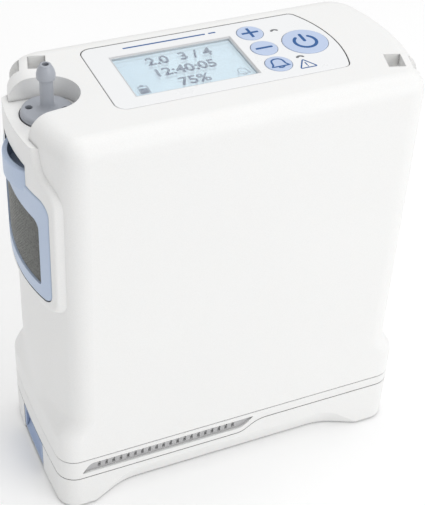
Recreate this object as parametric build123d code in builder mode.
from build123d import *
import math
import os

# Portable oxygen concentrator, pulse dose, with a slide-on battery.
# Millimetres, +Z up, front face towards -Y, origin on the floor at the
# centre of the footprint.

os.makedirs("parts", exist_ok=True)

# ---------------------------------------------------------------------------
# Shared dimensions
# ---------------------------------------------------------------------------
# outer form: both ends are bowed, the upper body more than the skirt below
depth = 68.0
top_z = 170.0            # top plane, the barbed outlet stands above it
# half length, end radius, front corner radius, back corner radius
skirt = (73.94, 400.0, 7.8, 10.9)
upper = (73.15, 76.7, 9.2, 13.5)
# height, blend from skirt to upper body
flare = ((36.6, 0.0), (38.0, 0.06), (40.0, 0.3), (43.0, 0.72), (45.5, 0.95), (47.0, 1.0))
top_round = 7.7
wall = 2.0

# parting lines
seam_up = 25.6           # housing / base band
seam_left = 16.0         # band / battery, low side
seam_right = 21.0        # band / battery, high side
seam_gap = 0.4
housing_z = seam_up + seam_gap / 2     # bottom of the upper housing
deck_z = seam_up - seam_gap / 2        # top of the base band

# control panel
panel_left, panel_front, panel_back = -43.1, -16.6, 24.3
panel_t = 2.0
window_left, window_right, window_front, window_back = -34.7, 11.7, -10.6, 16.3
window_centre = ((window_left + window_right) / 2, (window_front + window_back) / 2)
window_w, window_h = window_right - window_left, window_back - window_front
small_radius, power_radius = 4.9, 8.4
button_gap = 0.18
button_proud = 0.25
# name: centre, radius
buttons = {
    "plus": ((19.5, 15.7), small_radius),
    "minus": ((19.8, 4.3), small_radius),
    "bell": ((20.0, -7.2), small_radius),
    "power": ((35.9, 3.75), power_radius),
}
board_bosses = ((-41.0, 22.8), (-41.0, -15.6), (39.2, 22.6), (41.0, -15.4))

# outlet pocket and nozzle
pocket_x, pocket_y, pocket_r, pocket_z = -61.1, 1.6, 10.6, 162.0
nozzle_x, nozzle_y = -61.9, 1.4
nozzle_bottom, barb_top = 151.0, 181.2
flange_r = 9.3
flange_z = pocket_z - 0.9              # underside of the flange

# filter pod, a bulge on the left end struck on a tighter radius
pod_x, pod_radius, pod_half_w, pod_bottom, pod_top = -75.4, 79.0, 30.0, 92.6, 148.2
pod_centre_x = pod_x + pod_radius
frame_back = -68.4                     # the plane the filter frame seats on
tab_x, tab_r = -60.9, 17.4

# sockets low on the right end
jack_y, port_y, socket_z = 12.5, 24.5, 33.5

# battery joint
rail_y = 19.5
latch_y = 1.5
contact_pitch = 5.0

# screws that join the base band and housing: x, y, head seat z, boss top z
house_screws = (
    (-65.5, 29.2, 18.2, 34.0), (-65.5, -29.2, 18.2, 34.0),
    (69.8, 21.0, 23.2, 31.0), (69.8, -21.0, 23.2, 31.0),
)
mount_posts = ((-60, 24), (-60, -24), (25, 24), (25, -24))
frame_posts = ((-47, 29.0), (-47, -29.0), (33, 29.0), (33, -29.0))

# compressor, opposed twin with its crank axis along Y
crank_x, crank_z = -15.0, 80.0
crank_throw = 1.5
bore_r, piston_r = 10.0, 8.3
left_y, right_y = -6.2, 0.0            # cylinder axes
cylinder_sides = (("left", -1, left_y), ("right", 1, right_y))
cylinder_reach = 36.0                  # crank axis to the cylinder's outer face
head_size, head_corner, head_t = 28.0, 4.0, 7.0
head_port = 3.2                        # cylinder face to the head's port
head_bolt_pitch = 22.6
case_y0, case_y1 = -19.0, 12.0
shaft_r = 2.5

# fan, sieve columns and the hoses between them and the valves
fan_x = -38.0
column_x, column_y, column_r = 50.0, 14.8, 12.6
supply_y, manifold_z, header_z = 10, 116.0, 144.6
tank_y, tank_z = 13.8, 133.4
frame_hole_x = 24.4


# ---------------------------------------------------------------------------
# Helpers
# ---------------------------------------------------------------------------
def body_outline(blend, inset, z):
    """Plan outline at height z, moved inwards; blend runs from skirt 0 to upper body 1."""
    half_length = skirt[0] + blend * (upper[0] - skirt[0])
    end_radius = 1 / (1 / skirt[1] + blend * (1 / upper[1] - 1 / skirt[1]))
    corners = []
    for side, low, high in ((-1, skirt[2], upper[2]), (1, skirt[3], upper[3])):
        radius = low + blend * (high - low)
        centre_y = depth / 2 - radius
        centre_x = half_length - end_radius + math.sqrt((end_radius - radius) ** 2 - centre_y ** 2)
        end_angle = math.atan2(centre_y, centre_x - half_length + end_radius)
        radius -= inset
        corners.append([
            (centre_x + radius * math.cos(angle), side * (centre_y + radius * math.sin(angle)))
            for angle in (math.pi / 2, (end_angle + math.pi / 2) / 2, end_angle)
        ])
    front, back = corners
    left_front, left_back = [[(-x, y) for x, y in corner] for corner in corners]
    with BuildSketch(Plane.XY.offset(z)) as outline:
        with BuildLine():
            Line(left_front[0], front[0])
            ThreePointArc(*front)
            ThreePointArc(front[2], (half_length - inset, 0), back[2])
            ThreePointArc(*back[::-1])
            Line(back[0], left_back[0])
            ThreePointArc(*left_back)
            ThreePointArc(left_back[2], (-half_length + inset, 0), left_front[2])
            ThreePointArc(*left_front[::-1])
        make_face()
    return outline.sketch


def body_form(inset, bottom, top, rounding=0.0):
    """The closed outer form of the whole body, moved inwards, from bottom to top."""
    with BuildPart() as form:
        extrude(body_outline(0, inset, bottom), amount=min(top, flare[0][0]) - bottom)
        if top > flare[-1][0]:
            loft([body_outline(blend, inset, z) for z, blend in flare])
            extrude(body_outline(1, inset, flare[-1][0]), amount=top - flare[-1][0])
        if rounding > 0:
            fillet(form.edges().group_by(Axis.Z)[-1], rounding)
    return form.part


def under_seam(shift):
    """Everything under the band / battery seam, which is low left and high right."""
    low, high = seam_left + shift, seam_right + shift
    middle = (seam_left + seam_right) / 2 + 0.6 + shift
    with BuildPart() as below:
        with BuildSketch(Plane.XZ.offset(-60)):
            with BuildLine():
                Polyline((0.8, low), (-100, low), (-100, -20), (100, -20), (100, high), (14.6, high))
                Spline((14.6, high), (7.7, middle), (0.8, low), tangents=((-1, 0), (-1, 0)))
            make_face()
        extrude(amount=120)
    return below.part


def clipped(form, centre, size):
    """The part of a form that lies inside a box."""
    with BuildPart() as kept:
        add(form)
        with Locations(centre):
            Box(*size, mode=Mode.INTERSECT)
    return kept.part


def cylinder_along_x(y, z, radius, start, end):
    with BuildPart() as bar:
        with BuildSketch(Plane.YZ.offset(start)):
            with Locations((y, z)):
                Circle(radius)
        extrude(amount=end - start)
    return bar.part


def cylinder_along_y(x, z, radius, start, end):
    with BuildPart() as bar:
        with BuildSketch(Plane(origin=(0, start, 0), x_dir=(1, 0, 0), z_dir=(0, -1, 0))):
            with Locations((x, z)):
                Circle(radius)
        extrude(amount=-(end - start))
    return bar.part


def upright(x, y, radius, z, height, bore=0.0):
    """Vertical cylinder standing on z, bored through if a bore radius is given."""
    with BuildPart() as bar:
        with BuildSketch(Plane.XY.offset(z)):
            with Locations((x, y)):
                Circle(radius)
                if bore:
                    Circle(bore, mode=Mode.SUBTRACT)
        extrude(amount=height)
    return bar.part


def ring(x, y, z, radius, section):
    """Round-section ring about a vertical axis."""
    with BuildPart() as torus:
        with BuildSketch(Plane.XZ.offset(-y)):
            with Locations((x + radius, z)):
                Circle(section)
        revolve(axis=Axis((x, y, 0), (0, 0, 1)))
    return torus.part


def screw(x, y, z, head, shank, cross):
    """Upright screw, head down on z. Head is (radius, height), shank is
    (radius, start above z, length), cross recess is (length, width, depth)."""
    with BuildPart() as body:
        add(upright(x, y, head[0], z, head[1]))
        add(upright(x, y, shank[0], z + shank[1], shank[2]))
        with BuildSketch(Plane.XY.offset(z)):
            with Locations((x, y)):
                Rectangle(cross[0], cross[1])
                Rectangle(cross[1], cross[0])
        extrude(amount=cross[2], mode=Mode.SUBTRACT)
    return body.part


def hose(points, outer, inner, bend=0.0):
    """A tube along points, with rounded bends if there are more than two."""
    with BuildPart() as tube:
        with BuildLine():
            if len(points) == 2:
                Line(*points)
            else:
                FilletPolyline(*points, radius=bend)
        direction = Vector(*points[1]) - Vector(*points[0])
        with BuildSketch(Plane(origin=points[0], z_dir=direction)):
            Circle(outer)
            Circle(inner, mode=Mode.SUBTRACT)
        sweep()
    return tube.part


def left_plane(x):
    """Plane at x facing -X, its own Y pointing up."""
    return Plane(origin=(x, 0, 0), x_dir=(0, -1, 0), z_dir=(-1, 0, 0))


def save(piece, name):
    piece.label = name
    export_step(piece, f"parts/{name}.step")


housing_form = body_form(0.0, housing_z, top_z, top_round)
low_form = body_form(0.0, 0.0, deck_z)


# ---------------------------------------------------------------------------
# Outlines shared by the housing, panel and filter
# ---------------------------------------------------------------------------
def panel_outline(grow):
    """Panel outline: straight left, front and back edges, bowed right end."""
    front, back, left = panel_front - grow, panel_back + grow, panel_left - grow
    with BuildSketch() as outline:
        with BuildLine():
            Polyline((39.9 + grow, back), (left, back), (left, front), (43.2 + grow, front))
            ThreePointArc((43.2 + grow, front), (46.7 + grow, 1.2), (39.9 + grow, back))
        make_face()
        fillet(outline.vertices().sort_by(Axis.X)[:2], 4.0 + grow)
        right = outline.vertices().group_by(Axis.X)[-1]
        fillet(right + outline.vertices().sort_by(Axis.X)[-2:-1], 3.0 + grow)
    return outline.sketch


def pocket_outline(grow, z):
    """Round pocket that widens slightly towards the left end."""
    radius = pocket_r + grow
    with BuildSketch(Plane.XY.offset(z)) as outline:
        with Locations((pocket_x, pocket_y)):
            Circle(radius)
        with BuildLine():
            Polyline((pocket_x, pocket_y - radius), (-74.0, -11.2 - grow), (-90, -14.5 - grow),
                     (-90, 14.5 + grow), (-74.0, 12.6 + grow), (pocket_x, pocket_y + radius),
                     close=True)
        make_face()
    return outline.sketch


def filter_outline(grow, x):
    """The filter frame's outline on the plane at x, facing -X."""
    half_w, top = 25.3 + grow, 144.0 + grow
    corner_z, bottom = 100.6 - grow, 99.4 - grow
    with BuildSketch(left_plane(x)) as outline:
        with BuildLine():
            Polyline((-half_w, corner_z), (-half_w, top), (half_w, top), (half_w, corner_z))
            ThreePointArc((half_w, corner_z), (0, bottom), (-half_w, corner_z))
        make_face()
        fillet(outline.vertices().group_by(Axis.Y)[-1], 5.0 + grow)
        fillet(outline.vertices().group_by(Axis.Y)[0], 5.0 + grow)
    return outline.sketch


def mesh_outline(grow, x):
    """The opening in the filter frame: straight top, bottom bows up in the middle
    or down by the same small rise that its three points give."""
    half_w, top = 19.6 + grow, 133.8 + grow
    corner_z, middle_z = 106.0 - grow, 105.4 - grow
    with BuildSketch(left_plane(x)) as outline:
        with BuildLine():
            Polyline((-half_w, corner_z), (-half_w, top), (half_w, top), (half_w, corner_z))
            ThreePointArc((half_w, corner_z), (0, middle_z), (-half_w, corner_z))
        make_face()
        fillet(outline.vertices().group_by(Axis.Y)[-1], 3.4)
        fillet(outline.vertices().group_by(Axis.Y)[0], 1.6)
    return outline.sketch


def tab_outline(z, radius, flat_x):
    """Segment of the filter tab's circle, cut off straight at flat_x."""
    with BuildSketch(Plane.XY.offset(z)) as outline:
        with Locations((tab_x, 0)):
            Circle(radius)
        with Locations((flat_x + 20, 0)):
            Rectangle(40, 60, mode=Mode.SUBTRACT)
    return outline.sketch


# ---------------------------------------------------------------------------
# Upper housing: one deep shell with an open bottom
# ---------------------------------------------------------------------------
# strap lugs, front right and back left: x, y, outward direction along X
strap_lugs = ((60.2, -18.6, 1), (-59.0, 21.8, -1))
lug_turn = -15.5          # the lugs follow the bow of the ends
strap_bar = 3.0
well_w, strap_w = 6.2, 8.6


def filter_pod():
    shoulder = pod_top + 7
    with BuildPart() as pod:
        with BuildSketch(left_plane(-66)) as face:
            with BuildLine():
                Polyline((-pod_half_w, 95.2), (-pod_half_w, pod_top), (-21.0, shoulder),
                         (-18.0, 172), (18.0, 172), (21.0, shoulder),
                         (pod_half_w, pod_top), (pod_half_w, 95.2))
                ThreePointArc((pod_half_w, 95.2), (0, pod_bottom), (-pod_half_w, 95.2))
            make_face()
            fillet(face.vertices().group_by(Axis.Y)[0], 9.0)
            fillet([v for v in face.vertices() if abs(v.Y - pod_top) < 0.1], 9.0)
            fillet([v for v in face.vertices() if abs(v.Y - shoulder) < 0.1], 6.0)
        extrude(amount=12, taper=24)
        with BuildSketch(Plane.XY.offset(60)):
            with Locations((pod_centre_x, 0)):
                Circle(pod_radius)
        extrude(amount=120, mode=Mode.INTERSECT)
        rim = [edge for edge in pod.edges()
               if edge.center().X < -69.0 and edge.bounding_box().min.X < -69.6
               and edge.length > 0.2]
        fillet(rim, 1.6)
        split(bisect_by=Plane.XY.offset(pocket_z), keep=Keep.BOTTOM)
    return pod.part


def pocket_wall():
    with BuildPart() as block:
        extrude(pocket_outline(1.7, pocket_z - 3.2), amount=30)
        add(housing_form, mode=Mode.INTERSECT)
    return block.part


def filter_cut():
    """Filter window with a thumb recess over the tab."""
    with BuildPart() as cut:
        extrude(filter_outline(0.3, frame_back), amount=12)
        extrude(tab_outline(143.0, tab_r + 0.6, -70.4), amount=9.4)
    return cut.part


def lug_blocks():
    with BuildPart() as blocks:
        for x, y, outward in strap_lugs:
            with Locations((x + outward * 3.5, y - outward * 1.5, 163.5)):
                Box(22, 17, 14)
    return blocks.part


def cavity():
    """The hollow inside, less everything that stands in it."""
    with BuildPart() as hollow:
        add(body_form(wall, 20.0, top_z - wall, top_round - wall))
        extrude(filter_outline(2.2, frame_back + wall), amount=2.4, mode=Mode.SUBTRACT)
        add(pocket_wall(), mode=Mode.SUBTRACT)
        add(lug_blocks(), mode=Mode.SUBTRACT)
        # ledge under the panel
        with BuildSketch(Plane.XY.offset(top_z - panel_t - 1.6)):
            add(panel_outline(1.8))
            add(panel_outline(-1.0), mode=Mode.SUBTRACT)
        extrude(amount=4, mode=Mode.SUBTRACT)
        # bosses under the ledge that carry the control board
        for x, y in board_bosses:
            add(upright(x, y, 2.6, 159.7, 9, bore=1.15), mode=Mode.SUBTRACT)
        # bosses for the screws that hold the base band
        for x, y, _, boss_top in house_screws:
            add(upright(x, y, 3.3, housing_z, boss_top - seam_up, bore=1.35), mode=Mode.SUBTRACT)
    return hollow.part


def upper_housing():
    with BuildPart() as housing:
        add(housing_form)
        add(filter_pod())
        add(cavity(), mode=Mode.SUBTRACT)
        extrude(pocket_outline(0.0, pocket_z), amount=30, mode=Mode.SUBTRACT)
        add(filter_cut(), mode=Mode.SUBTRACT)
        # intake grille behind the filter
        with Locations(Location((frame_back, 0, 116), (0, 90, 0))):
            with GridLocations(7.0, 7.0, 4, 4):
                Box(5.4, 5.4, 20, mode=Mode.SUBTRACT)
        # strap holes: a well behind a bar, a tunnel under it, a notch outside it
        for x, y, outward in strap_lugs:
            with Locations(Location((x, y, 158), (0, 0, lug_turn))):
                with Locations((0, 0, 7)):
                    Box(well_w, strap_w, 14, mode=Mode.SUBTRACT)
                with Locations((outward * 10, 0, 3.7)):
                    Box(20, strap_w, 7.4, mode=Mode.SUBTRACT)
                with Locations((outward * (well_w / 2 + strap_bar + 6), 0, 7)):
                    Box(12, strap_w, 14, mode=Mode.SUBTRACT)
        # panel opening down to the ledge, and through it
        for drop, grow in ((0, 0.32), (1.7, -1.0)):
            with BuildSketch(Plane.XY.offset(top_z - panel_t - drop)):
                add(panel_outline(grow))
            extrude(amount=4, mode=Mode.SUBTRACT)
        # outlet bore in the pocket floor, with a shallow seat for the flange
        with Locations((nozzle_x, nozzle_y, pocket_z)):
            Cylinder(4.6, 10, mode=Mode.SUBTRACT)
            Cylinder(flange_r + 0.4, 2.0, mode=Mode.SUBTRACT)
        # power inlet and service port low on the right end
        with Locations(Location((72, jack_y, socket_z), (0, 90, 0))):
            Cylinder(4.3, 16, mode=Mode.SUBTRACT)
        with Locations((72, port_y, socket_z)):
            Box(16, 8.6, 3.6, mode=Mode.SUBTRACT)
    return housing.part


# ---------------------------------------------------------------------------
# Control panel
# ---------------------------------------------------------------------------
button_z = top_z - 3.1                 # underside of the button flanges
board_z, board_t = 158.0, 1.6
pipe_z = 161.2


def pipe_slots():
    """Two short arched slots beside the buttons."""
    with BuildSketch() as slots:
        for x, y in ((28.7, 15.0), (29.3, -5.0)):
            with BuildLine(mode=Mode.PRIVATE) as arc:
                ThreePointArc((x - 1.1, y - 0.35), (x, y + 0.25), (x + 1.1, y - 0.35))
            SlotArc(arc.edges()[0], 0.9)
    return slots.sketch


def control_panel():
    slots = pipe_slots()
    with BuildPart() as panel:
        with BuildSketch(Plane.XY.offset(top_z - panel_t)):
            add(panel_outline(0.0))
        extrude(amount=panel_t)
        fillet(panel.edges().group_by(Axis.Z)[-1], 0.3)
        with BuildSketch(Plane.XY.offset(top_z)):
            with Locations(window_centre):
                Rectangle(window_w, window_h)
            for centre, radius in buttons.values():
                with Locations(centre):
                    Circle(radius + button_gap)
            add(offset(slots, 0.06, mode=Mode.PRIVATE))
        extrude(amount=-panel_t, mode=Mode.SUBTRACT)
    return panel.part


def display_frame():
    with BuildPart() as frame:
        with BuildSketch(Plane.XY.offset(top_z - panel_t)):
            with Locations(window_centre):
                Rectangle(window_w - 0.1, window_h - 0.1)
                Rectangle(window_w - 1.5, window_h - 1.5, mode=Mode.SUBTRACT)
        extrude(amount=panel_t - 0.1)
        inner = [edge for edge in frame.edges().group_by(Axis.Z)[-1]
                 if abs(edge.center().X - window_centre[0]) < window_w / 2 - 0.4
                 and abs(edge.center().Y - window_centre[1]) < window_h / 2 - 0.4]
        chamfer(inner, 0.45)
    return frame.part


def display_window():
    with BuildPart() as window:
        with Locations((*window_centre, top_z - 0.75)):
            Box(window_w - 1.5, window_h - 1.5, 0.7)
    return window.part


def lcd_module():
    with BuildPart() as module:
        with Locations((*window_centre, top_z - 4.3)):
            Box(window_w + 1.6, window_h + 1.6, 4.2)
        with Locations((*window_centre, top_z - 1.75)):
            Box(window_w - 1.7, window_h - 1.7, 1.1)
    return module.part


def button(name):
    """Cap with a retaining flange and a stem down to its switch."""
    centre, radius = buttons[name]
    with BuildPart() as cap:
        add(upright(*centre, radius, button_z, 3.1 + button_proud))
        fillet(cap.edges().group_by(Axis.Z)[-1], 0.35)
        with BuildSketch(Plane.XY.offset(button_z)):
            with Locations(centre):
                if name == "power":
                    SlotOverall(2 * radius + 1.8, 4.0, rotation=90)
                else:
                    Circle(radius + 0.55)
        extrude(amount=0.9)
        add(upright(*centre, 1.5, 162.65, 4.6))
    return cap.part


def tact_switches():
    with BuildPart() as switches:
        for centre, _ in buttons.values():
            with Locations((*centre, 160.85)):
                Box(6, 6, 2.3)
            with Locations((*centre, 162.02)):
                Cylinder(1.7, 0.2)
    return switches.part


def light_pipes():
    slots = pipe_slots()
    with BuildPart() as pipes:
        with BuildSketch(Plane.XY.offset(pipe_z)):
            add(slots)
        extrude(amount=top_z - pipe_z - 0.05)
    return pipes.part


def control_board():
    with BuildPart() as board:
        with BuildSketch(Plane.XY.offset(board_z)):
            with Locations((0.5, 3.5)):
                RectangleRounded(89.0, 43.0, 2.0)
            with Locations(*board_bosses):
                Circle(1.3, mode=Mode.SUBTRACT)
        extrude(amount=board_t)
        # square and round components on the underside
        with Locations((-20, 3, 157.4), (6, 4, 157.3), (24, -6, 157.3)):
            Box(12, 12, 1.4)
        with Locations((-2, 18.5, 156.2), (22, 17, 156.2)):
            Cylinder(3.2, 3.8)
    return board.part


def buzzer():
    with BuildPart() as can:
        with Locations((31.5, 6.0, 154.4)):
            Cylinder(6.0, 7.0)
            Cylinder(1.0, 7.0, mode=Mode.SUBTRACT)
    return can.part


def board_screws():
    with BuildPart() as screws:
        for x, y in board_bosses:
            add(screw(x, y, board_z - 1.6, head=(2.1, 1.55), shank=(1.08, 0.6, 8.0),
                      cross=(2.6, 0.5, 0.8)))
    return screws.part


# ---------------------------------------------------------------------------
# Oxygen outlet
# ---------------------------------------------------------------------------
step_r = flange_r - 0.35
# half section of the nozzle, each point (radius, z)
nozzle_section = (
    (Polyline, (1.15, barb_top), (1.15, nozzle_bottom), (4.4, nozzle_bottom), (4.4, flange_z),
     (flange_r, flange_z), (flange_r, 162.5), (step_r, 162.8), (step_r, 163.3)),
    (ThreePointArc, (step_r, 163.3), (flange_r - 0.65, 163.98), (flange_r - 1.3, 164.3)),
    (Polyline, (flange_r - 1.3, 164.3), (4.4, 164.3)),
    (ThreePointArc, (4.4, 164.3), (2.92, 164.92), (2.3, 166.4)),
    (Polyline, (2.3, 166.4), (2.3, 175.3)),
    (ThreePointArc, (2.3, 175.3), (2.98, 175.75), (3.25, 176.6)),
    (Polyline, (3.25, 176.6), (3.25, 177.6)),
    (ThreePointArc, (3.25, 177.6), (2.8, 179.3), (2.05, 180.7)),
    (ThreePointArc, (2.05, 180.7), (1.88, 181.07), (1.55, barb_top)),
    (Polyline, (1.55, barb_top), (1.15, barb_top)),
)


def cannula_nozzle():
    with BuildPart() as nozzle:
        with BuildSketch(Plane.XZ.offset(-nozzle_y)):
            with BuildLine():
                for curve, *points in nozzle_section:
                    curve(*[(nozzle_x + radius, z) for radius, z in points])
            make_face()
        revolve(axis=Axis((nozzle_x, nozzle_y, 0), (0, 0, 1)))
        # socket for the outlet filter
        with Locations((nozzle_x, nozzle_y, 152.6)):
            Cylinder(3.5, 3.4, mode=Mode.SUBTRACT)
        # groove for the seal
        add(upright(nozzle_x, nozzle_y, 7.9, flange_z, 1.05, bore=6.5), mode=Mode.SUBTRACT)
        # two round recesses in the flange
        with Locations((nozzle_x - 5.7, nozzle_y + 2.4, 163.8),
                       (nozzle_x + 5.7, nozzle_y - 2.4, 163.8)):
            Cylinder(1.3, 2.6, mode=Mode.SUBTRACT)
    return nozzle.part


def nozzle_nut():
    with BuildPart() as nut:
        with BuildSketch(Plane.XY.offset(155.2)):
            with Locations((nozzle_x, nozzle_y)):
                RegularPolygon(6.0, 6, major_radius=True)
                Circle(4.46, mode=Mode.SUBTRACT)
        extrude(amount=3.5)
    return nut.part


def outlet_filter():
    with BuildPart() as disc:
        with Locations((nozzle_x, nozzle_y, 152.5)):
            Cylinder(3.45, 2.6)
    return disc.part


# ---------------------------------------------------------------------------
# Particle filter on the left end
# ---------------------------------------------------------------------------
tab_z = 140.6


def filter_frame():
    with BuildPart() as frame:
        extrude(filter_outline(0.0, frame_back - 0.1), amount=12)
        with BuildSketch(Plane.XY.offset(80)):
            with Locations((pod_centre_x - 0.2, 0)):
                Circle(pod_radius)
        extrude(amount=70, mode=Mode.INTERSECT)
        rim = [edge for edge in frame.edges()
               if edge.center().X < -70.6 and edge.bounding_box().min.X < -71.0
               and edge.length > 0.1]
        fillet(rim, 1.1)
        extrude(mesh_outline(0.0, -60), amount=20, mode=Mode.SUBTRACT)
        # pull tab: a rounded lip with a thumb well behind it
        extrude(tab_outline(tab_z, tab_r, -70.6), amount=8.6)
        lip = [edge for edge in frame.edges()
               if edge.center().X < -75.5
               and (edge.center().Z > 149.0 or abs(edge.center().Z - tab_z) < 0.1)]
        fillet(lip, 0.6)
        extrude(tab_outline(143.2, tab_r - 1.8, -70.0), amount=10, mode=Mode.SUBTRACT)
    return frame.part


def filter_screen():
    with BuildPart() as screen:
        extrude(mesh_outline(-0.15, -68.6), amount=6)
        with BuildSketch(Plane.XY.offset(80)):
            with Locations((pod_centre_x + 0.8, 0)):
                Circle(pod_radius)
                Circle(pod_radius - 1.0, mode=Mode.SUBTRACT)
        extrude(amount=70, mode=Mode.INTERSECT)
    return screen.part


# ---------------------------------------------------------------------------
# Base band with the exhaust plenum and the battery rails
# ---------------------------------------------------------------------------
def rail_pair(x, length, *bands):
    """Bars along X at both rails, from x; each band is (centre z, width, height)."""
    with BuildPart() as bars:
        for y in (rail_y, -rail_y):
            with BuildSketch(Plane.YZ.offset(x)):
                for z, width, height in bands:
                    with Locations((y, z)):
                        Rectangle(width, height)
            extrude(amount=length)
    return bars.part


def vent_slot():
    """Long slot through the front wall, with sloping ends."""
    with BuildPart() as slot:
        with BuildSketch(Plane.XZ.offset(30.5)):
            with BuildLine():
                Polyline((-64.6, 18.6), (0.7, 18.6))
                Spline((0.7, 18.6), (3.4, 19.1), (8.1, 23.3), tangents=((1, 0), (1, 1)))
                Polyline((8.1, 23.3), (-59.6, 23.3))
                Spline((-59.6, 23.3), (-62.6, 21.7), (-64.6, 18.6), tangents=((-1, 0), (-0.5, -1)))
            make_face()
        extrude(amount=6)
    return slot.part


def duct():
    """The plenum, less the walls left round the rail channels."""
    with BuildPart() as air:
        add(clipped(body_form(2.4, 18.3, 23.2), (-60, 0, 20), (130, 80, 20)))
        add(rail_pair(-67.5, 80, (19.0, 9.6, 5.2)), mode=Mode.SUBTRACT)
    return air.part


def base_chassis():
    with BuildPart() as band:
        add(low_form)
        add(under_seam(seam_gap / 2), mode=Mode.SUBTRACT)
        fillet(band.edges().group_by(Axis.Z)[-1], 0.35)
        add(duct(), mode=Mode.SUBTRACT)
        # well at the right, open at the top
        add(clipped(body_form(2.4, 23.2, 30), (62, 0, 25), (112, 80, 20)), mode=Mode.SUBTRACT)
        add(vent_slot(), mode=Mode.SUBTRACT)
        # mouth of the fan in the deck
        with Locations((fan_x, 0, 24.5)):
            Cylinder(17.8, 6, mode=Mode.SUBTRACT)
        # opening for the sieve column cartridge
        with BuildSketch(Plane.XY.offset(20)):
            with Locations((column_x, 0)):
                RectangleRounded(33.0, 60.6, 6.0)
        extrude(amount=6, mode=Mode.SUBTRACT)
        # posts for the compressor mounts
        for x, y in mount_posts:
            add(upright(x, y, 3.6, 22.6, 13.4))
            with Locations((x, y, 32)):
                Cylinder(1.25, 8.2, mode=Mode.SUBTRACT)
        # bosses for the housing screws, with counterbores from below
        for x, y, seat, _ in house_screws:
            boss_z = seat - 1.2
            add(upright(x, y, 3.4, boss_z, deck_z - boss_z))
        for x, y, seat, _ in house_screws:
            with Locations((x, y, 22)):
                Cylinder(1.65, 12, mode=Mode.SUBTRACT)
            with Locations((x, y, seat - 5)):
                Cylinder(2.9, 10, mode=Mode.SUBTRACT)
        # the rails' channels and the catch for the battery latch
        add(rail_pair(-66, 80, (15.6, 3.7, 4.6), (18.8, 6.8, 2.4)), mode=Mode.SUBTRACT)
        with Locations((-69.6, latch_y, 16.8)):
            Box(2.9, 12.6, 1.6, mode=Mode.SUBTRACT)
        # channel that the latch tooth runs in once it is past the catch
        with Locations((-24.0, latch_y, 16.6)):
            Box(81.0, 11.6, 1.8, mode=Mode.SUBTRACT)
        # seat for the contact block
        with Locations((6.5, 0, 18.0)):
            Box(9.0, 26.4, 7.2, mode=Mode.SUBTRACT)
    return band.part


def base_screws():
    highest_tip = 33.0
    with BuildPart() as screws:
        for x, y, seat, boss_top in house_screws:
            length = min(boss_top, highest_tip) - seat - 0.5
            add(screw(x, y, seat - 1.7, head=(2.5, 1.7), shank=(1.3, 1.2, length),
                      cross=(3.0, 0.6, 0.9)))
    return screws.part


def exhaust_baffle():
    with BuildPart() as baffle:
        with Locations((-28.2, -32.3, 21.0)):
            Box(80.0, 1.2, 8.0)
        add(vent_slot(), mode=Mode.INTERSECT)
        with BuildSketch(Plane.XZ.offset(30)):
            with Locations((-29.0, 20.95)):
                with GridLocations(3.0, 1.0, 20, 1):
                    Rectangle(1.2, 3.2)
        extrude(amount=4, mode=Mode.SUBTRACT)
        # clear of the screw bosses
        for x, y, _, _ in house_screws:
            with Locations((x, y, 21)):
                Cylinder(3.6, 20, mode=Mode.SUBTRACT)
    return baffle.part


def battery_contact_block():
    with BuildPart() as block:
        with Locations((6.3, 0, 18.9)):
            Box(8.0, 25.6, 4.8)
        with Locations((12.2, 0, 18.0)):
            with GridLocations(1, contact_pitch, 1, 5):
                Box(4.4, 1.2, 0.8)
        # groove that lets the latch tooth pass
        with Locations((6.3, latch_y, 16.9)):
            Box(10.0, 11.6, 1.2, mode=Mode.SUBTRACT)
    return block.part


# ---------------------------------------------------------------------------
# Battery: welded case and lid, slides off to the right
# ---------------------------------------------------------------------------
arch_top, arch_left, arch_right = 13.2, -60.5, 59.8
arch_radius = 17.0
scoop_slope = (0.469, -0.883)          # inwards, up
latch_spring_x = -68.6


def scoops():
    """Arched cuts that slope in under the front and back faces."""
    left_foot = (arch_left - 12, -10.5)
    right_foot = (arch_right + 12, -10.2)
    with BuildPart() as cuts:
        for side in (1, -1):
            plane = Plane(origin=(0, -36 * side, 3.76), x_dir=(1, 0, 0), z_dir=(0, -1, 0))
            with BuildSketch(plane) as arch:
                with BuildLine():
                    FilletPolyline(left_foot, (arch_left + 15.0, arch_top),
                                   (arch_right - 16.4, arch_top), right_foot,
                                   radius=arch_radius)
                    Polyline(left_foot, (left_foot[0], -34), (right_foot[0], -34), right_foot)
                make_face()
            extrude(arch.sketch, amount=44, dir=(0, scoop_slope[0] * side, scoop_slope[1]))
    return cuts.part


def lid_seat():
    with BuildPart() as seat:
        add(body_form(2.2, 8, 30))
        add(under_seam(-2.2), mode=Mode.SUBTRACT)
    return seat.part


def battery_case():
    with BuildPart() as case:
        add(low_form)
        add(under_seam(-seam_gap / 2), mode=Mode.INTERSECT)
        fillet(case.edges().group_by(Axis.Z)[0], 1.4)
        add(scoops(), mode=Mode.SUBTRACT)
        # bay for the cells
        add(clipped(body_form(2.2, 2.2, 30), (4.2, 0, 15), (137.6, 51.0, 40)), mode=Mode.SUBTRACT)
        add(lid_seat(), mode=Mode.SUBTRACT)
        # bay for the latch at the left end
        with Locations((-72.4, latch_y, 9.0)):
            Box(12.6, 25.2, 15.6, mode=Mode.SUBTRACT)
    return case.part


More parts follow.
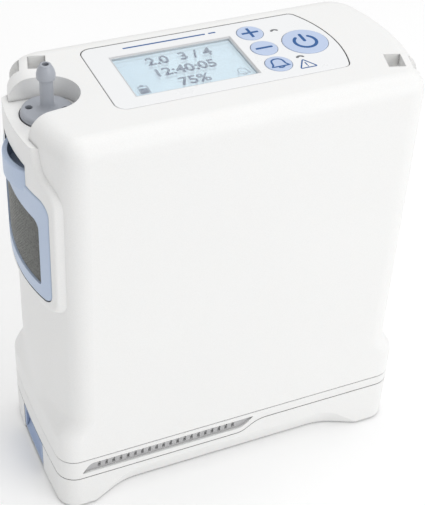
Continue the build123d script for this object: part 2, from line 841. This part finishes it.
def battery_lid():
    below = under_seam(-seam_gap / 2)
    with BuildPart() as lid:
        add(body_form(2.3, 8, 30))
        add(below, mode=Mode.INTERSECT)
        add(under_seam(-2.1), mode=Mode.SUBTRACT)
        # pocket that the contact block drops into
        add(clipped(below, (6.6, 0, 17.2), (15.0, 29.6, 5.2)))
        with Locations((5.7, 0, 19.5)):
            Box(13.0, 27.2, 7.0, mode=Mode.SUBTRACT)
        with Locations((13.4, 0, 17.4)):
            Box(5.0, 24.2, 3.2, mode=Mode.SUBTRACT)
        # T rails
        add(rail_pair(-62, 58, (16.8, 3.1, 2.8), (18.75, 6.2, 1.7)))
        # notch over the latch
        with Locations((-72.4, latch_y, 14.0)):
            Box(12.8, 25.6, 8, mode=Mode.SUBTRACT)
    return lid.part


def battery_cells():
    first_x, pitch = -46.0, 31.5
    with BuildPart() as cells:
        for i in range(4):
            with BuildSketch(Plane.XY.offset(2.5)):
                with Locations((first_x + i * pitch, 0)):
                    RectangleRounded(30.2, 48.6, 2.0)
            extrude(amount=10.6)
    return cells.part


def battery_board():
    with BuildPart() as board:
        with Locations((40.3, 0, 14.8)):
            Box(52.0, 38.0, 1.2)
        with Locations((34, -8, 16.0), (34, 8, 16.0), (52, 0, 16.0)):
            Box(7.0, 5.0, 1.2)
        # terminal block with five slots
        with Locations((17.0, 0, 17.1)):
            Box(4.6, 23.6, 3.4)
        with Locations((17.0, 0, 18.0)):
            with GridLocations(1, contact_pitch, 1, 5):
                Box(6.6, 1.8, 1.4, mode=Mode.SUBTRACT)
    return board.part


def battery_latch():
    with BuildPart() as latch:
        with Locations((-71.0, latch_y, 9.3)):
            Box(9.2, 24.2, 11.4)
        add(body_form(0.12, 3.6, 15.4), mode=Mode.INTERSECT)
        # tooth
        with Locations((-69.6, latch_y, 15.4)):
            Box(2.1, 10.6, 3.6)
        # thumb dish
        with Locations(Location((-80.6, latch_y, 9.6), (90, 0, 0))):
            Cylinder(8.4, 19.0, mode=Mode.SUBTRACT)
        # spring bore, open below
        with Locations((latch_spring_x, latch_y, 6.6)):
            Cylinder(2.0, 9.2, mode=Mode.SUBTRACT)
    return latch.part


def latch_spring():
    with BuildPart() as spring:
        with BuildLine() as coil:
            Helix(pitch=1.45, height=8.4, radius=1.55, center=(latch_spring_x, latch_y, 1.95))
        with BuildSketch(Plane(origin=coil.line @ 0, z_dir=coil.line % 0)):
            Circle(0.2)
        sweep()
    return spring.part


# ---------------------------------------------------------------------------
# Compressor on rubber mounts
# ---------------------------------------------------------------------------
case_r = 17.0
bearing_t = 2.5
crank_pin_x = crank_x + crank_throw


def isolation_mounts():
    """Waisted rubber rings on the posts."""
    inner, outer, waist = 1.3, 4.0, 2.9
    bottom, top = 36.1, 43.9
    with BuildPart() as mounts:
        for x, y in mount_posts:
            with BuildSketch(Plane.XZ.offset(-y)):
                with BuildLine():
                    Polyline((x + inner, bottom), (x + outer, bottom), (x + outer, 38.4))
                    ThreePointArc((x + outer, 38.4), (x + waist, 40.0), (x + outer, 41.6))
                    Polyline((x + outer, 41.6), (x + outer, top), (x + inner, top),
                             (x + inner, bottom))
                make_face()
            revolve(axis=Axis((x, y, 0), (0, 0, 1)))
    return mounts.part


def compressor_tray():
    with BuildPart() as tray:
        with BuildSketch(Plane.XY.offset(44.0)):
            with Locations((-17.5, 0)):
                RectangleRounded(94.0, 50.0, 4.0)
                with Locations((-20, 0)):
                    SlotOverall(36, 30, mode=Mode.SUBTRACT)
            with Locations(*mount_posts):
                Circle(5.0)
            with Locations(*mount_posts):
                Circle(1.3, mode=Mode.SUBTRACT)
        extrude(amount=2.0)
    return tray.part


def crankcase():
    middle_y, length = (case_y0 + case_y1) / 2, case_y1 - case_y0
    with BuildPart() as case:
        add(cylinder_along_y(crank_x, crank_z, case_r, case_y0, case_y1))
        # pedestal and foot
        with Locations((crank_x, middle_y, 57.0)):
            Box(26.0, length, 22.0)
        with Locations((crank_x, middle_y, 48.0)):
            Box(40.0, length, 3.9)
        # crank chamber, bearing bores and cylinder openings
        for radius, start, end in ((13.5, case_y0 + bearing_t, case_y1 - bearing_t),
                                   (5.02, case_y0 - 1, case_y1 + 1)):
            add(cylinder_along_y(crank_x, crank_z, radius, start, end), mode=Mode.SUBTRACT)
        add(cylinder_along_x(left_y, crank_z, bore_r, crank_x - 20, crank_x), mode=Mode.SUBTRACT)
        add(cylinder_along_x(right_y, crank_z, bore_r, crank_x, crank_x + 20), mode=Mode.SUBTRACT)
    return case.part


def compressor_cylinder(side, axis_y):
    """Finned cylinder; side is -1 for left, 1 for right."""
    face_x = crank_x + side * cylinder_reach
    with BuildPart() as barrel:
        add(cylinder_along_x(axis_y, crank_z, 12.0, crank_x + side * 11.0, face_x))
        with BuildSketch(Plane.YZ.offset(face_x)):
            with Locations((axis_y, crank_z)):
                RectangleRounded(head_size, head_size, head_corner)
        extrude(amount=-side * 4.0)
        for inward in (7.0, 10.0, 13.0):
            add(cylinder_along_x(axis_y, crank_z, 13.6, face_x - side * inward,
                                 face_x - side * (inward + 1.2)))
        add(cylinder_along_x(axis_y, crank_z, bore_r, crank_x, face_x + side), mode=Mode.SUBTRACT)
        # saddle that fits the crankcase
        add(cylinder_along_y(crank_x, crank_z, case_r + 0.05, -30, 30), mode=Mode.SUBTRACT)
        with Locations(Location((face_x, axis_y, crank_z), (0, 90, 0))):
            with GridLocations(head_bolt_pitch, head_bolt_pitch, 2, 2):
                Cylinder(1.3, 12, mode=Mode.SUBTRACT)
    return barrel.part


def cylinder_head(side, axis_y):
    face_x = crank_x + side * cylinder_reach
    with BuildPart() as head:
        with BuildSketch(Plane.YZ.offset(face_x + side * 0.05)):
            with Locations((axis_y, crank_z)):
                RectangleRounded(head_size, head_size, head_corner)
        extrude(amount=side * head_t)
        # grooves between the cooling fins
        with Locations((face_x + side * 6.6, axis_y, crank_z)):
            with GridLocations(1.0, 5.0, 1, 5):
                Box(3.0, 2.6, 18.6, mode=Mode.SUBTRACT)
        with Locations(Location((face_x, axis_y, crank_z), (0, 90, 0))):
            with GridLocations(head_bolt_pitch, head_bolt_pitch, 2, 2):
                Cylinder(1.3, 20, mode=Mode.SUBTRACT)
        # port in the top edge
        with Locations((face_x + side * head_port, axis_y, crank_z + head_size / 2)):
            Cylinder(1.6, 8.0, mode=Mode.SUBTRACT)
    return head.part


def compressor_screws():
    """Mount screws, then the four bolts of each head."""
    corner = head_bolt_pitch / 2
    with BuildPart() as screws:
        for x, y in mount_posts:
            with Locations((x, y, 46.9)):
                Cylinder(2.4, 1.6)
            with Locations((x, y, 38.9)):
                Cylinder(1.15, 15.0)
        for _, side, axis_y in cylinder_sides:
            face_x = crank_x + side * cylinder_reach
            for y in (axis_y - corner, axis_y + corner):
                for z in (crank_z - corner, crank_z + corner):
                    for radius, start, end in ((1.25, -4.0, 7.2), (2.2, 7.1, 8.9)):
                        add(cylinder_along_x(y, z, radius, face_x + side * start,
                                             face_x + side * end))
    return screws.part


def main_bearings():
    with BuildPart() as bearings:
        for start in (case_y0, case_y1 - bearing_t):
            add(cylinder_along_y(crank_x, crank_z, 5.0, start, start + bearing_t))
        add(cylinder_along_y(crank_x, crank_z, shaft_r + 0.04, -40, 40), mode=Mode.SUBTRACT)
    return bearings.part


def crankshaft():
    # x, radius, start y, end y: shaft, web, pin, web, motor shaft
    lengths = (
        (crank_x, shaft_r, case_y0 - 0.5, -13.4),
        (crank_x, 8.0, -13.4, -9.4),
        (crank_pin_x, 2.2, -9.4, 3.2),
        (crank_x, 8.0, 3.2, 7.2),
        (crank_x, shaft_r, 7.2, 28.4),
    )
    with BuildPart() as shaft:
        for x, radius, start, end in lengths:
            add(cylinder_along_y(x, crank_z, radius, start, end))
    return shaft.part


def rod_piston(side, axis_y):
    """Connecting rod in one piece with its piston."""
    piston_x = crank_pin_x + side * 31.0
    with BuildPart() as rod:
        add(cylinder_along_y(crank_pin_x, crank_z, 4.6, axis_y - 2.5, axis_y + 2.5))
        with Locations((crank_pin_x + side * 15.6, axis_y, crank_z)):
            Box(27.0, 4.6, 4.4)
        for radius, half_t in ((piston_r - 1.6, 2.4), (piston_r, 1.2)):
            add(cylinder_along_x(axis_y, crank_z, radius, piston_x - half_t, piston_x + half_t))
        add(cylinder_along_y(crank_pin_x, crank_z, 2.25, -40, 40), mode=Mode.SUBTRACT)
    return rod.part


def motor_rotor():
    with BuildPart() as rotor:
        add(cylinder_along_y(crank_x, crank_z, 9.6, 14.6, 26.0))
        add(cylinder_along_y(crank_x, crank_z, shaft_r + 0.02, 0, 40), mode=Mode.SUBTRACT)
    return rotor.part


def motor_stator():
    with BuildPart() as stator:
        add(cylinder_along_y(crank_x, crank_z, 17.0, 14.4, 26.2))
        add(cylinder_along_y(crank_x, crank_z, 10.2, 0, 40), mode=Mode.SUBTRACT)
        with Locations(Location((crank_x, 20.3, crank_z), (90, 0, 0))):
            with PolarLocations(13.0, 9):
                Cylinder(2.0, 20, mode=Mode.SUBTRACT)
    return stator.part


def motor_housing():
    with BuildPart() as cup:
        add(cylinder_along_y(crank_x, crank_z, 18.4, case_y1 + 0.05, 29.8))
        add(cylinder_along_y(crank_x, crank_z, 17.05, case_y1, 28.6), mode=Mode.SUBTRACT)
        add(cylinder_along_y(crank_x, crank_z, shaft_r + 0.06, 0, 40), mode=Mode.SUBTRACT)
    return cup.part


# ---------------------------------------------------------------------------
# Cooling fan over the plenum
# ---------------------------------------------------------------------------
fan_z = deck_z + 0.1
blade_count = 7


def fan_frame():
    with BuildPart() as frame:
        with BuildSketch(Plane.XY.offset(fan_z)):
            with Locations((fan_x, 0)):
                RectangleRounded(40.0, 40.0, 3.0)
                Circle(18.6, mode=Mode.SUBTRACT)
                with GridLocations(32, 32, 2, 2):
                    Circle(1.6, mode=Mode.SUBTRACT)
        extrude(amount=10.0)
        # hub and its four spokes
        with BuildSketch(Plane.XY.offset(fan_z)):
            with Locations((fan_x, 0)):
                Circle(7.6)
                Rectangle(38.0, 2.0)
                Rectangle(2.0, 38.0)
        extrude(amount=1.4)
    return frame.part


def fan_rotor():
    with BuildPart() as rotor:
        add(upright(fan_x, 0, 7.8, deck_z + 1.8, 8.0))
        fillet(rotor.edges().group_by(Axis.Z)[-1], 1.0)
        for i in range(blade_count):
            with Locations(Location((fan_x, 0, deck_z + 5.8), (0, 0, i * 360 / blade_count))):
                with Locations(Location((12.4, 0, 0), (42, 0, 0))):
                    Box(10.6, 8.6, 1.0)
    return rotor.part


# ---------------------------------------------------------------------------
# Gas path: frame, intake silencer, valve manifold, product tank, columns
# ---------------------------------------------------------------------------
shelf_z = 107.6
left_port_x = crank_x - cylinder_reach - head_port
right_port_x = crank_x + cylinder_reach + head_port


def inner_frame():
    with BuildPart() as frame:
        with BuildSketch(Plane.XY.offset(shelf_z)):
            with Locations((-7.0, 0)):
                RectangleRounded(85.0, 62.6, 3.0)
            with Locations((-55, 0)):
                Rectangle(20, 30, mode=Mode.SUBTRACT)
            with Locations((frame_hole_x, 0)):
                Circle(3.4, mode=Mode.SUBTRACT)
        extrude(amount=2.4)
        for x, y in frame_posts:
            add(upright(x, y, 2.3, deck_z + 0.05, shelf_z - deck_z))
    return frame.part


def intake_silencer():
    with BuildPart() as silencer:
        with Locations((-56.4, -13.5, 113.0)):
            Box(13.0, 26.0, 26.0)
        fillet(silencer.edges().filter_by(Axis.Z), 3.0)
        # spigot below
        with Locations((left_port_x, left_y, 98.6)):
            Cylinder(2.6, 4.4)
            Cylinder(1.6, 12.0, mode=Mode.SUBTRACT)
        # recess in the left face
        with Locations((-64.0, -13.5, 113.0)):
            Box(3.0, 16.0, 16.0, mode=Mode.SUBTRACT)
    return silencer.part


def valve_manifold():
    with BuildPart() as manifold:
        with Locations((-4.0, 0, 115.6)):
            Box(62.0, 52.0, 11.0)
        fillet(manifold.edges().filter_by(Axis.Z), 3.0)
        with Locations((frame_hole_x, 0, 112.0)):
            Cylinder(1.6, 8.0, mode=Mode.SUBTRACT)
        for y, start, end in ((-supply_y, 18, 40), (supply_y, 18, 40), (8.0, -50, -25)):
            add(cylinder_along_x(y, manifold_z, 1.4, start, end), mode=Mode.SUBTRACT)
    return manifold.part


def solenoid_valves():
    first_x, pitch, valve_y = -28, 12.5, -12.5
    with BuildPart() as valves:
        for i in range(5):
            x = first_x + i * pitch
            with Locations((x, valve_y, 131.2)):
                Box(10.0, 14.0, 20.0)
            with Locations((x, valve_y, 142.6)):
                Cylinder(3.2, 3.0)
            with Locations((x, valve_y, 128.0)):
                Box(11.6, 11.0, 9.0)
    return valves.part


def product_tank():
    with BuildPart() as tank:
        add(cylinder_along_x(tank_y, tank_z, 11.6, -34.0, 26.0))
        fillet(tank.edges().filter_by(GeomType.CIRCLE), 3.0)
        # feet
        with Locations((-20, tank_y, 122.9), (12, tank_y, 122.9)):
            Box(6.0, 12.0, 3.4)
        add(cylinder_along_x(tank_y, tank_z, 9.8, -32.2, 24.2), mode=Mode.SUBTRACT)
        # outlet spigot on the left end
        add(cylinder_along_x(tank_y, tank_z, 2.4, -37.0, -33.0))
        add(cylinder_along_x(tank_y, tank_z, 1.4, -38.0, -31.0), mode=Mode.SUBTRACT)
    return tank.part


def sieve_column(y):
    with BuildPart() as column:
        add(upright(column_x, y, column_r, 25.0, 109.0))
        fillet(column.edges().group_by(Axis.Z)[-1], 3.0)
        # neck with a groove for its O-ring
        add(upright(column_x, y, 5.0, 133.0, 8.0))
        add(upright(column_x, y, 5.2, 139.0, 1.2, bore=4.0), mode=Mode.SUBTRACT)
        with Locations((column_x, y, 80.0)):
            Cylinder(column_r - 1.2, 104.0, mode=Mode.SUBTRACT)
        with Locations((column_x, y, 136.0)):
            Cylinder(1.6, 14.0, mode=Mode.SUBTRACT)
    return column.part


def sieve_media():
    with BuildPart() as media:
        for y in (-column_y, column_y):
            with Locations((column_x, y, 79.0)):
                Cylinder(column_r - 1.25, 100.0)
    return media.part


def o_rings():
    """The nozzle's seal and one ring on each column neck."""
    with BuildPart() as rings:
        add(ring(nozzle_x, nozzle_y, flange_z + 0.45, 7.2, 0.5))
        for y in (-column_y, column_y):
            add(ring(column_x, y, 139.6, 4.62, 0.55))
    return rings.part


def column_header():
    with BuildPart() as header:
        with Locations((column_x + 0.4, 0, 143.6)):
            Box(27.2, 57.0, 8.0)
        fillet(header.edges().filter_by(Axis.Z), 4.0)
        for y in (-column_y, column_y):
            with Locations((column_x, y, 141.0)):
                Cylinder(5.25, 5.2, mode=Mode.SUBTRACT)
        for y in (-supply_y, supply_y):
            add(cylinder_along_x(y, header_z, 1.4, 30, 46), mode=Mode.SUBTRACT)
    return header.part


def column_base():
    plate_z = 21.4
    with BuildPart() as base:
        with BuildSketch(Plane.XY.offset(plate_z)):
            with Locations((column_x, 0)):
                RectangleRounded(32.6, 60.2, 5.8)
        extrude(amount=3.5)
        for y in (-column_y, column_y):
            add(upright(column_x, y, column_r + 1.4, 24.8, 5.0, bore=column_r + 0.05))
        # finger slot that pulls the cartridge out
        with BuildSketch(Plane.XY.offset(plate_z)):
            with Locations((column_x, 0)):
                SlotOverall(20.0, 5.0)
        extrude(amount=2.0, mode=Mode.SUBTRACT)
    return base.part


def gas_hoses():
    """Feed from the right head, intake to the left head, two supply lines
    to the columns and the product line to the outlet."""
    start_z = crank_z + head_size / 2 + 0.05
    riser_x = 32.5
    with BuildPart() as hoses:
        add(hose([(right_port_x, right_y, start_z), (right_port_x, right_y, 110.05)], 2.3, 1.5))
        add(hose([(left_port_x, left_y, start_z), (left_port_x, left_y, 96.35)], 2.3, 1.5))
        for y in (-supply_y, supply_y):
            add(hose([(27.05, y, manifold_z), (riser_x, y, manifold_z), (riser_x, y, header_z),
                      (36.75, y, header_z)], 2.2, 1.3, bend=3.2))
        add(hose([(nozzle_x, nozzle_y, nozzle_bottom - 0.05), (nozzle_x, nozzle_y, tank_z),
                  (-44.0, tank_y, tank_z), (-37.05, tank_y, tank_z)], 2.3, 1.4, bend=4.0))
    return hoses.part


# ---------------------------------------------------------------------------
# Power inlet and service port
# ---------------------------------------------------------------------------
def dc_inlet_jack():
    with BuildPart() as jack:
        with Locations((68.8, jack_y, socket_z)):
            Box(3.6, 9.0, 9.2)
        add(cylinder_along_x(jack_y, socket_z, 4.2, 70.4, 73.5))
        add(cylinder_along_x(jack_y, socket_z, 2.9, 68.4, 75.4), mode=Mode.SUBTRACT)
        # centre pin
        add(cylinder_along_x(jack_y, socket_z, 0.9, 67.4, 72.8))
    return jack.part


def service_port():
    with BuildPart() as port:
        with Locations((69.4, port_y, socket_z)):
            Box(6.4, 8.2, 3.2)
        with Locations((70.8, port_y, socket_z)):
            Box(6.0, 7.2, 2.2, mode=Mode.SUBTRACT)
        # tongue
        with Locations((69.8, port_y, socket_z + 0.2)):
            Box(5.0, 6.0, 0.7)
    return port.part


# ---------------------------------------------------------------------------
# Build and save; each file takes its function's name
# ---------------------------------------------------------------------------
for build in (
    upper_housing, control_panel, display_frame, display_window, lcd_module,
    tact_switches, light_pipes, control_board, buzzer, board_screws,
    cannula_nozzle, nozzle_nut, outlet_filter, filter_frame, filter_screen,
    base_chassis, base_screws, exhaust_baffle, battery_contact_block,
    battery_case, battery_lid, battery_cells, battery_board, battery_latch, latch_spring,
    isolation_mounts, compressor_tray, crankcase, compressor_screws, main_bearings,
    crankshaft, motor_rotor, motor_stator, motor_housing, fan_frame, fan_rotor,
    inner_frame, intake_silencer, valve_manifold, solenoid_valves, product_tank,
    sieve_media, o_rings, column_header, column_base, gas_hoses,
    dc_inlet_jack, service_port,
):
    save(build(), build.__name__)

for name in buttons:
    save(button(name), f"button_{name}")

for name, side, axis_y in cylinder_sides:
    save(compressor_cylinder(side, axis_y), f"cylinder_{name}")
    save(cylinder_head(side, axis_y), f"cylinder_head_{name}")
    save(rod_piston(side, axis_y), f"rod_piston_{name}")

for name, y in (("front", -column_y), ("rear", column_y)):
    save(sieve_column(y), f"sieve_column_{name}")
